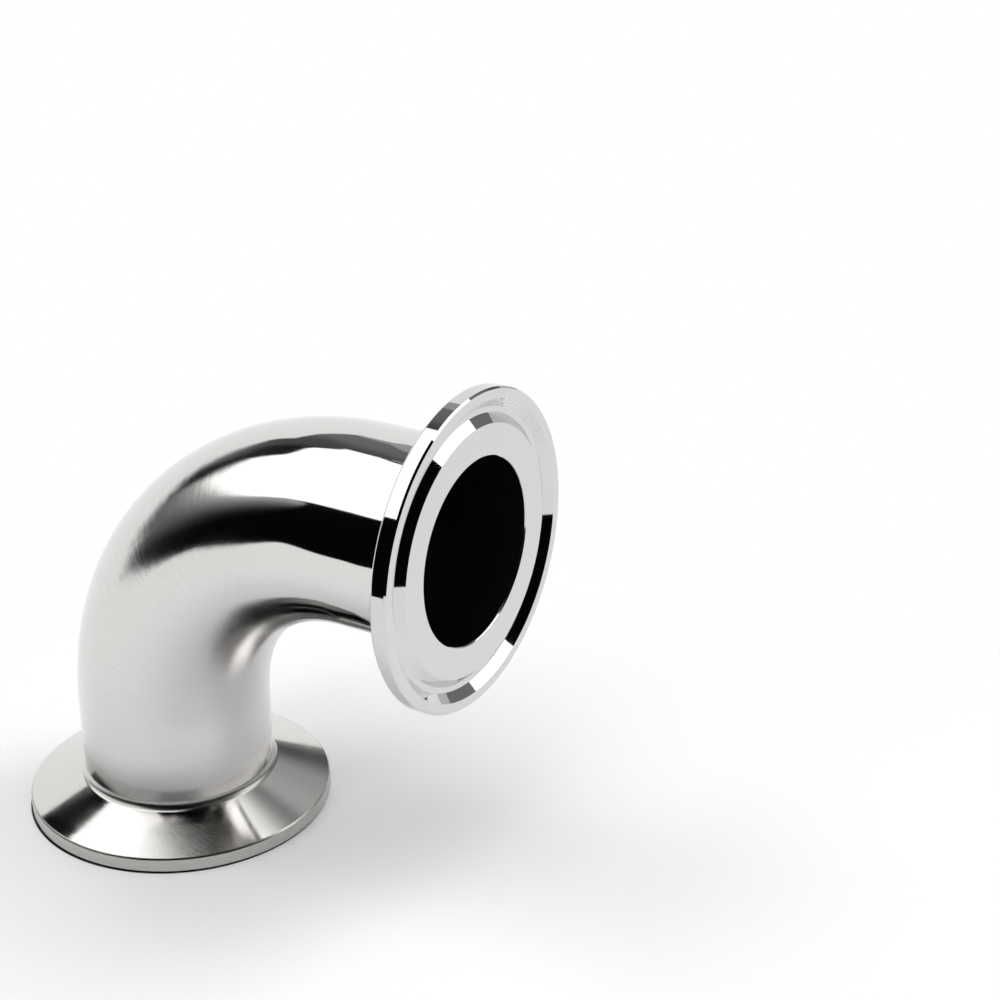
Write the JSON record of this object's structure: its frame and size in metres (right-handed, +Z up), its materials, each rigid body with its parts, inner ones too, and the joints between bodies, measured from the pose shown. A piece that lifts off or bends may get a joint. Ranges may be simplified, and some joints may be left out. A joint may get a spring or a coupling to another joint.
{
  "type": "ninety degree elbow",
  "caption": "Ninety degree elbow of thin stainless tube with a grooved clamp ferrule welded to each end, for joining clean pipe runs.",
  "frame": {"origin": "centre of the lower sealing face, on the axis of the lower bore", "axes": "+Z up the lower leg, +X out of the upper leg's mouth, the bend lies in the XZ plane"},
  "size_m": [0.0853, 0.0504, 0.0852],
  "materials": {
    "bent_tube": "satin, brushed round the tube",
    "turned_ferrule": "polished sealing face, finely turned back and rim"
  },
  "bodies": {
    "root": {"elbow_bend": "bent_tube", "base_ferrule": "turned_ferrule", "outlet_ferrule": "turned_ferrule"}
  },
  "joints": []
}
